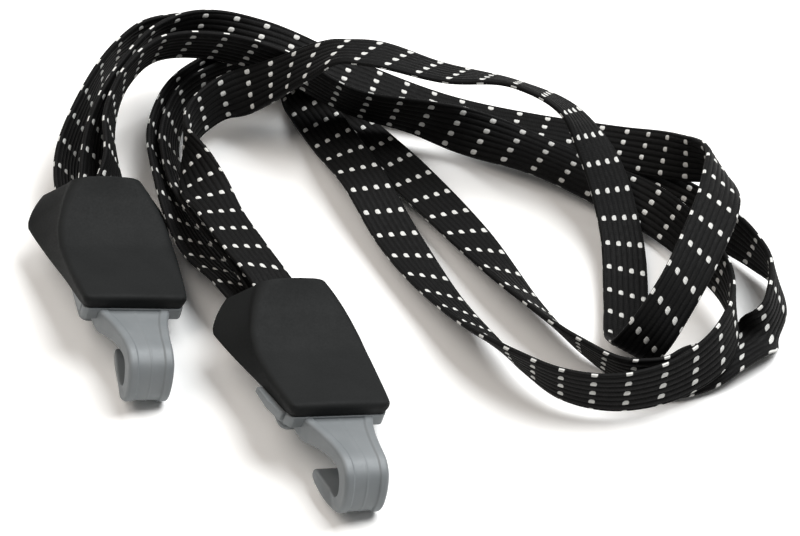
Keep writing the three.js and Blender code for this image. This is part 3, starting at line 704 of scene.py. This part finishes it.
@dataclass
class HookEnd:
    """A covered hook: the black cover, and the grey moulding of base, flange, neck and hook.

    Sizes are in mm. The tables hold shares of the sizes above them, from the mouth of the cover to its
    front, and from the root of the neck to the tip of the hook.
    """

    name: str
    turn: float
    dip: float
    roll: float
    place: tuple
    tip_ahead: float
    tip_aside: float
    length: float = 45.6
    half_width: float = 21.2
    face_half: float = 16.6
    crest: float = 5.1
    depth: float = 12.5
    wall: float = 1.3
    crown: float = 0.25
    fillet: float = 1.7
    mouth_round: float = 2.4
    mouth_round_run: float = 5.0
    mouth_swell: float = 0.9
    mouth_lean: float = 0.0987
    mouth_lean_run: float = 6.0
    lip: float = 0.3
    flange_half: float = 18.2
    flange_most: float = 18.2
    flange_run: float = 30.0
    rear_run: float = 7.0
    rear_half: float = 17.8
    front_half: float = 12.4
    plate_front: float = 41.6
    rear_drop: float = 12.9
    base_rise: float = 3.8
    plate: float = 1.8
    flange_lift: float = 1.6
    pan_drop: float = 14.4
    pan_floor: float = 1.6
    pan_wall_low: float = 13.6
    pan_wall_top: float = 11.6
    pan_ends: tuple = (9.5, 37.5)
    pan_half: float = 10.0
    pan_round: float = 2.5
    pocket: tuple = (10.9, 38.4)
    reach: float = 26.9
    drop: float = 16.4
    hook_half: float = 6.4
    tip_round: float = 1.1
    rim_high: float = 0.42
    rim_width: float = 2.5
    rim_slope: float = 0.45
    rim_round: float = 1.15
    ridge_high: float = 0.13
    ridge_width: float = 0.28
    under_round: float = 0.8
    runs: tuple = (0, 0.123, 0.305, 0.471, 0.697, 0.921, 1)
    face_halves: tuple = (0.464, 0.736, 0.946, 1, 0.994, 0.952, 0.928)
    face_rises: tuple = (1, 0.4, -0.235, -0.451, -0.294, -0.02, 0.059)
    wall_halves: tuple = (0.764, 1, 0.923, 0.867, 0.783, 0.703, 0.668)
    wall_drops: tuple = (0.536, 1, 0.863, 0.711, 0.511, 0.368, 0.272)
    flange_runs: tuple = (0, 0.2, 0.45, 0.69, 0.8, 0.801, 0.86, 0.861, 0.93, 0.97, 1)
    flange_halves: tuple = (1, 0.985, 0.965, 0.9, 0.865, 0.79, 0.76, 0.83, 0.79, 0.765, 0.73)
    face_soft: float = 4.2
    rise_soft: float = 2.2
    wall_soft: float = 0.9
    drop_soft: float = 1.2
    outer_run: tuple = (
        -0.26, 0.0, 0.11, 0.27, 0.49, 0.66, 0.765, 0.863, 0.932, 0.979, 1, 0.966, 0.872, 0.722, 0.53, 0.35,
    )
    outer_drop: tuple = (
        0.3, 0.245, 0.22, 0.16, 0.085, 0.05, 0.073, 0.158, 0.304, 0.487, 0.7, 0.872, 0.983, 1, 1, 0.965,
    )
    inner_run: tuple = (
        -0.26, 0.07, 0.19, 0.33, 0.5, 0.628, 0.714, 0.782, 0.82, 0.829, 0.8, 0.735, 0.637, 0.5, 0.41, 0.35,
    )
    inner_drop: tuple = (
        0.68, 0.64, 0.56, 0.46, 0.37, 0.325, 0.347, 0.44, 0.562, 0.671, 0.756, 0.793, 0.799, 0.79, 0.78, 0.79,
    )
    band_half: tuple = (1.72, 1.62, 1.46, 1.28, 1.12, 1.06, 1.04, 1.03, 1.02, 1.01, 1, 1, 1, 1, 1, 0.96)
    sway: tuple = (0, 0, 0, 0, 0, 0, 0, 0, 0, 0, 0, 0, 0, 0.46, 0.75, 1)

    def to_row(self, points: np.ndarray) -> np.ndarray:
        """Carries points from the end's own frame in mm to the shared frame in metres.

        The own frame is x across, y from the mouth toward the hook, z out of the face.

        Args:
            points: Array of points.

        Returns:
            Array of the same shape.
        """
        flat = np.cos(self.dip)
        run = np.array([np.sin(self.turn) * flat, -np.cos(self.turn) * flat, -np.sin(self.dip)])
        level = np.array([np.cos(self.turn), np.sin(self.turn), 0.0])
        up = -np.cross(level, run)
        across = up * np.sin(self.roll) - level * np.cos(self.roll)
        face = up * np.cos(self.roll) + level * np.sin(self.roll)
        return (np.array(self.place) + points @ np.array([across, run, face])) * MM

    def finish(
        self, piece: bpy.types.Object, look: bpy.types.Material, slot: Slot, *nodes: str
    ) -> bpy.types.Object:
        """Dresses a piece, lets it ride on this end and hides the parts that it replaces.

        Args:
            piece: The piece.
            look: Its material.
            slot: Its material slot, not used.
            nodes: Names of the nodes that it replaces, if any.

        Returns:
            The piece.
        """
        piece.data.materials.append(look)
        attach(piece, self.name)
        if nodes:
            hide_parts(*nodes)
        log.info("%s: %d points", piece.name, len(piece.data.vertices))
        return piece

    def cover_sheet(self, wall: float) -> np.ndarray:
        """Works out one sheet of the cover, at a depth under its outer surface.

        Each ring is an arch: a sloping side, a quarter-round fillet, and a slightly crowned face. The
        rings run from the mouth to the front, turn over a fillet there and close as a front wall that
        falls straight to the lower edge.

        Args:
            wall: Depth of the sheet under the outer surface in mm.

        Returns:
            Array of rows, columns and x, y, z in the end's own frame.
        """
        runs = np.array(self.runs) * self.length
        turn = np.radians(np.linspace(0, 90, 9))
        body = np.linspace(0, self.length - self.fillet, 64)
        place = np.concatenate([body, self.length - self.fillet + self.fillet * np.sin(turn[1:])])
        inset = wall + np.concatenate([np.zeros(len(body)), self.fillet * (1 - np.cos(turn[1:]))])

        def read(shares: tuple, size: float, soft: float) -> np.ndarray:
            """Reads a table of shares of a size at each ring, with its corners rounded."""
            return smooth_table(runs, np.array(shares) * size, place, soft)

        half = read(self.face_halves, self.face_half, self.face_soft)
        rise = read(self.face_rises, self.crest, self.rise_soft)
        low_half = read(self.wall_halves, self.half_width, self.wall_soft)
        low = -read(self.wall_drops, self.depth, self.drop_soft)
        swell = np.clip(1 - (place / runs[1] * 2 - 1) ** 2, 0, 1) * self.mouth_swell
        half, low_half, rise = half - inset, low_half - inset + swell, rise - inset
        side = np.linspace(0, 1, 12)
        bend = np.radians(np.linspace(0, 90, 8))
        face = np.linspace(0, 1, 14)
        tilt = (low_half - half) / (rise - low)
        fil = self.fillet + self.mouth_round * np.exp(-place / self.mouth_round_run)
        edge_x = half + tilt * fil
        x_side = low_half[:, None] + (edge_x - low_half)[:, None] * side[None, :]
        z_side = low[:, None] + (rise - fil - low)[:, None] * side[None, :]
        wide = (edge_x - (half - fil))[:, None]
        x_bend = (half - fil)[:, None] + wide * np.cos(bend)[None, 1:]
        z_bend = (rise - fil)[:, None] + fil[:, None] * np.sin(bend)[None, 1:]
        x_face = (half - fil)[:, None] * (1 - face[None, 1:])
        z_face = rise[:, None] + self.crown * (1 - (1 - face[None, 1:]) ** 2)
        x = np.concatenate([x_side, x_bend, x_face], 1)
        z = np.concatenate([z_side, z_bend, z_face], 1)
        x = np.concatenate([x, -x[:, -2::-1]], 1)
        z = np.concatenate([z, z[:, -2::-1]], 1)
        place = place * (1 - wall / self.length * np.clip(place / self.mouth_lean_run, 0, 1))
        lean = np.exp(-place / self.mouth_lean_run) * self.mouth_lean * self.length
        y = place[:, None] - lean[:, None] * (rise[0] - z) / (rise[0] - low[0])
        fall = np.linspace(0, 1, 7)[1:, None]
        front_x = np.repeat(x[-1:], 6, 0)
        front_z = z[-1:] * (1 - fall) + low[-1] * fall
        front_y = np.full_like(front_z, self.length - wall)
        return np.stack([np.vstack([x, front_x]), np.vstack([y, front_y]), np.vstack([z, front_z])], -1)

    def cover(self, look: bpy.types.Material) -> bpy.types.Object:
        """Builds the hood-shaped cover as an outer and an inner sheet, sewn together round their border.

        Args:
            look: The cover's material.

        Returns:
            The cover.
        """
        outer, inner = self.cover_sheet(0.0), self.cover_sheet(self.wall)
        rows, columns = outer.shape[:2]
        index = np.arange(rows * columns).reshape(rows, columns)
        border = np.concatenate([index[0], index[1:, -1], index[-1, -2::-1], index[-2:0:-1, 0]])
        ahead = np.roll(border, -1)
        far = rows * columns
        sewn = np.stack([border, ahead, ahead + far, border + far], 1)
        front = grid_faces(rows, columns, False)
        faces = np.vstack([front, front[:, ::-1] + far, sewn[:, ::-1]]).tolist()
        points = self.to_row(np.vstack([outer.reshape(-1, 3), inner.reshape(-1, 3)]))
        piece = mesh_object(self.name + "_hood", points, faces)
        sew_doubles(piece)
        turn_outward(piece)
        add_bevel(piece, 0.35 * MM, 3, 50)
        return self.finish(piece, look, Slot.COVER, self.name + "_cover")

    def band(self, look: bpy.types.Material) -> bpy.types.Object:
        """Builds the neck and hook as a band with a raised rim along both edges.

        The outer and inner lines are smooth curves through the tables. The outer face is flat with a fine
        ridge in its middle, steps up to a rim near each edge and rounds over it, and the inner face is
        flat. The last rings shrink to a rounded tip.

        Args:
            look: The hook's material.

        Returns:
            The band.
        """
        edges = (self.outer_run, self.outer_drop, self.inner_run, self.inner_drop)
        line = through_points(np.array([*edges, self.band_half, self.sway]).T, 121)
        ahead = self.length + self.tip_ahead * line[:, 5]
        outer = np.stack([ahead + self.reach * line[:, 0], -self.drop * line[:, 1]], 1)
        inner = np.stack([ahead + self.reach * line[:, 2], -self.drop * line[:, 3]], 1)
        half = self.hook_half * line[:, 4]
        thick = np.linalg.norm(outer - inner, axis=1)
        middle = (outer + inner) / 2
        step = np.concatenate([[0.0], np.cumsum(np.linalg.norm(np.diff(middle, axis=0), axis=1))])
        tip = np.clip((step[-1] - step) / self.tip_round, 0, 1)
        shrink = (1 - np.sqrt(np.clip(1 - (1 - tip) ** 2, 0, 1))) * 0.5
        bend = np.radians(np.linspace(0, 90, 8))
        flat = np.linspace(0, 1, 30)
        sections = []
        for full, t, cut in zip(half, thick, shrink):
            h = full - cut
            r = self.rim_round
            x = flat * (h - r)
            up = np.clip((x - (h - self.rim_width - self.rim_slope)) / self.rim_slope, 0, 1)
            lift = self.rim_high * (up * up * (3 - 2 * up)) - self.rim_high
            lift = lift + self.ridge_high * np.exp(-((x / self.ridge_width) ** 2))
            top = np.stack([x, -lift + cut], 1)
            over = np.stack([h - r + r * np.sin(bend), cut + r * (1 - np.cos(bend))], 1)[1:]
            s = min(self.under_round, t * 0.3)
            under = np.stack([h - s + s * np.cos(bend), t - cut - s + s * np.sin(bend)], 1)
            back = np.stack([np.linspace(h - s, 0, 10)[1:], np.full(9, t - cut)], 1)
            right = np.vstack([top, over, under, back])
            left = right[-2:0:-1] * np.array([-1.0, 1.0])
            sections.append(np.vstack([right, left]))
        shape = np.array(sections)
        span = (inner - outer) / thick[:, None]
        y = outer[:, None, 0] + span[:, None, 0] * shape[:, :, 1]
        z = outer[:, None, 1] + span[:, None, 1] * shape[:, :, 1]
        x = shape[:, :, 0] + self.tip_aside * line[:, 5:6]
        points = np.stack([x, y, z], -1)
        faces = tube_faces(*points.shape[:2])
        piece = mesh_object(self.name + "_hook_band", self.to_row(points.reshape(-1, 3)), faces)
        turn_outward(piece)
        return self.finish(piece, look, Slot.HOOK, self.name + "_hook")

    def slab(
        self, label: str, outline: np.ndarray, low: np.ndarray, high: np.ndarray,
        look: bpy.types.Material, bevel: float,
    ) -> bpy.types.Object:
        """Builds a plate of the moulding from its outline, with an underside and a top of their own.

        Args:
            label: End of the piece's name.
            outline: Points x, y of the outline, in order.
            low: Height of the underside at each point.
            high: Height of the top at each point.
            look: The material.
            bevel: Width of the rounded edges in mm.

        Returns:
            The plate.
        """
        count = len(outline)
        points = np.vstack([np.column_stack([outline, low]), np.column_stack([outline, high])])
        faces = [[i, (i + 1) % count, count + (i + 1) % count, count + i] for i in range(count)]
        faces.append(list(range(count))[::-1])
        faces.append(list(range(count, 2 * count)))
        piece = mesh_object(self.name + label, self.to_row(points), faces, smooth=False)
        turn_outward(piece)
        add_bevel(piece, bevel * MM, 3, 25)
        piece.data.polygons.foreach_set("use_smooth", np.ones(len(piece.data.polygons), bool))
        return self.finish(piece, look, Slot.HOOK)

    def base_low(self, run: np.ndarray) -> np.ndarray:
        """Height of the base's underside at a run: a straight line from its rear to its front."""
        span = self.length + self.lip - self.rear_run
        return -self.rear_drop + self.base_rise * (run - self.rear_run) / span

    def flange(self, look: bpy.types.Material) -> bpy.types.Object:
        """Builds the flange that shows beside and before the cover, with its two narrow slots.

        Args:
            look: The hook's material.

        Returns:
            The flange.
        """
        run = self.flange_run + (self.length + self.lip - self.flange_run) * np.array(self.flange_runs)
        half = np.minimum(self.flange_half * np.array(self.flange_halves), self.flange_most)
        outline = both_sides(np.stack([half, run], 1))
        runs = np.array(self.runs) * self.length
        drops = np.array(self.wall_drops) * self.depth
        high = -np.interp(np.minimum(outline[:, 1], self.length), runs, drops) - self.lip
        low = self.base_low(outline[:, 1]) + self.flange_lift
        return self.slab("_hook_flange", outline, low, high, look, 0.3)

    def base_plate(self, look: bpy.types.Material) -> bpy.types.Object:
        """Builds the plate inside the lower edge of the cover, round the pocket for the straps.

        Args:
            look: The hook's material.

        Returns:
            The plate.
        """
        half, front = self.pocket
        rear = self.rear_run
        corners = [[half, front], [half, rear], [self.rear_half, rear], [self.front_half, self.plate_front]]
        outline = both_sides(np.array(corners))
        low = self.base_low(outline[:, 1])
        return self.slab("_hook_plate", outline, low, low + self.plate, look, 0.4)

    def pan(self, look: bpy.types.Material) -> bpy.types.Object:
        """Builds the shallow pan under the base: its floor, the flat underside, and its three walls.

        Args:
            look: The hook's material.

        Returns:
            The pan's floor.
        """
        turn = np.radians(np.linspace(0, 90, 7))
        corner = np.stack([np.cos(turn), np.sin(turn)], 1) * self.pan_round
        (rear, ahead), wide = self.pan_ends, self.pan_half
        mid = np.array([[wide, ahead], [-wide, ahead], [-wide, rear], [wide, rear]])
        flip = np.array([[1, 1], [-1, 1], [-1, -1], [1, -1]])
        rounds = [m + (corner if f[0] * f[1] > 0 else corner[::-1]) * f for m, f in zip(mid, flip)]
        outline = np.vstack(rounds)
        low = np.full(len(outline), -self.pan_drop)
        half, front = self.pocket
        out = self.front_half
        side = [[half, front], [half, rear], [out, rear], [out, ahead], [11.6, 39.2], [10.0, 39.9]]
        wall = both_sides(np.array(side))
        top = np.maximum(-self.pan_wall_top, self.base_low(wall[:, 1]) + 0.6)
        self.slab("_hook_pan_wall", wall, np.full(len(wall), -self.pan_wall_low), top, look, 0.2)
        return self.slab("_hook_pan", outline, low, low + self.pan_floor, look, 0.5)


# ---------------------------------------------------------------- studio


@dataclass
class Studio:
    """The camera at the photograph's place, the pale floor and the soft lamps."""

    camera_place: tuple = (54.44, -645.61, 680.29)
    camera_tilt: float = 45.16
    lens: float = 150.2
    floor_half: float = 3.0
    floor_dark: tuple = (0.8, 0.8, 0.79, 1.0)
    floor_light: tuple = (0.82, 0.82, 0.81, 1.0)
    floor_lift: float = 0.43
    aim: tuple = (0.05, 0.02, 0.0)
    world_strength: float = 0.13

    def camera(self) -> None:
        """Adds the camera, which looks down at the cord along +Y."""
        data = bpy.data.cameras.new("Camera")
        data.lens = self.lens
        data.sensor_width = 36.0
        data.clip_end = 20.0
        item = bpy.data.objects.new("Camera", data)
        item.location = [c * MM for c in self.camera_place]
        item.rotation_euler = (np.radians(self.camera_tilt), 0.0, 0.0)
        bpy.context.scene.collection.objects.link(item)
        bpy.context.scene.camera = item

    def floor(self) -> None:
        """Adds the floor as a stage piece under the cord.

        Its colour is brighter by floor_lift to the camera and in glossy reflections, so that the open
        floor is white there, while the soft light that it throws back stays as it is.
        """
        size = self.floor_half
        corners = np.array([[-size, -size, 0], [size, -size, 0], [size, size, 0], [-size, size, 0]])
        piece = mesh_object("Floor", corners, [[0, 1, 2, 3]], smooth=False)
        material, g = new_material("Pale floor")
        place = g.node("ShaderNodeTexCoord")
        cloud = g.fed("ShaderNodeTexNoise", {"Vector": place.outputs["Object"], "Scale": 6.0})
        colour = g.mix(g.ramp(cloud.outputs[0], 0.3, 0.7), self.floor_dark, self.floor_light)
        ray = g.node("ShaderNodeLightPath")
        seen = g.math("MAXIMUM", ray.outputs["Is Camera Ray"], ray.outputs["Is Glossy Ray"])
        bright = g.node("ShaderNodeVectorMath", operation="SCALE")
        g.join(colour, bright.inputs[0])
        g.join(g.math("ADD", 1.0, g.math("MULTIPLY", seen, self.floor_lift)), bright.inputs["Scale"])
        g.close("ShaderNodeOutputMaterial", g.fed("ShaderNodeBsdfDiffuse", {"Color": bright.outputs[0]}))
        piece.data.materials.append(material)

    def lamp(self, name: str, place: tuple, size: float, watts: float, colour: tuple) -> None:
        """Adds a square soft lamp that points at the cord.

        Args:
            name: Name of the lamp.
            place: Its place in metres.
            size: Length of its side in metres.
            watts: Its power.
            colour: Its colour.
        """
        data = bpy.data.lights.new(name, "AREA")
        data.shape = "SQUARE"
        data.size = size
        data.energy = watts
        data.color = colour
        item = bpy.data.objects.new(name, data)
        ray = np.array(self.aim) - np.array(place)
        flat = np.hypot(ray[0], ray[1])
        item.location = place
        item.rotation_euler = (np.arctan2(flat, -ray[2]), 0.0, np.arctan2(ray[1], ray[0]) - np.pi / 2)
        bpy.context.scene.collection.objects.link(item)

    def light(self) -> None:
        """Lights the cord: a large key from the right and behind, a wide fill from the left."""
        world = bpy.data.worlds.new("Studio")
        bpy.context.scene.world = world
        world.use_nodes = True
        g = Graph(world.node_tree)
        sky = {"Color": (1.0, 1.0, 1.0, 1.0), "Strength": self.world_strength}
        g.close("ShaderNodeOutputWorld", g.fed("ShaderNodeBackground", sky))
        self.lamp("Key", (0.65, 0.4, 1.15), 1.0, 25.0, (0.98, 0.99, 1.0))
        self.lamp("Fill", (-0.75, 0.1, 1.3), 1.2, 11.0, (1.0, 0.93, 0.87))
        bpy.context.scene.view_settings.view_transform = "Standard"


def main() -> None:
    """Builds the studio, the straps, the hook ends and the small parts, in that order."""
    logging.basicConfig(level=logging.INFO, format="%(name)s: %(message)s")
    studio = Studio()
    studio.camera()
    elastic = Elastic("Braided elastic").build()
    for name in ("strap_looped", "strap_inner", "strap_outer"):
        Strap(name).build(elastic)
    grain = speckle_group()
    black = Plastic(
        "Matte black plastic", dark=(0.0102, 0.011, 0.011, 1), light=(0.0126, 0.0135, 0.0135, 1),
        rough_low=0.64, rough_high=0.76, grain=0.0006, depth=0.00002, specular=0.16,
    ).build(grain)
    grey = Plastic(
        "Satin grey plastic", dark=(0.186, 0.202, 0.21, 1), light=(0.212, 0.228, 0.236, 1),
        rough_low=0.5, rough_high=0.6, grain=0.0004, depth=0.00001, metallic=0.12,
    ).build(grain)
    steel = Plastic(
        "Plated steel", dark=(0.4, 0.41, 0.42, 1), light=(0.5, 0.51, 0.52, 1),
        rough_low=0.25, rough_high=0.4, grain=0.0003, depth=0.00001, metallic=1.0,
    ).build(grain)
    ends = (
        HookEnd("end_a", 0.26, 0.003, 0.272, (-30.56, 52.49, 17.89), -3.1, -1.2, flange_most=14.6),
        HookEnd("end_b", 0.339, 0.013, 0.307, (23.84, 10.69, 18.39), 0.9, 2.4),
    )
    for end in ends:
        end.cover(black)
        end.band(grey)
        end.flange(grey)
        end.base_plate(grey)
        end.pan(grey)
        for part in ("pin", "clamp", "rivet_1", "rivet_2", "screw_1", "screw_2"):
            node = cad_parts[f"{end.name}_{part}"]
            node.data.materials.clear()
            node.data.materials.append(steel)
    studio.floor()
    studio.light()
    bpy.context.view_layer.update()


if __name__ == "__main__":
    main()
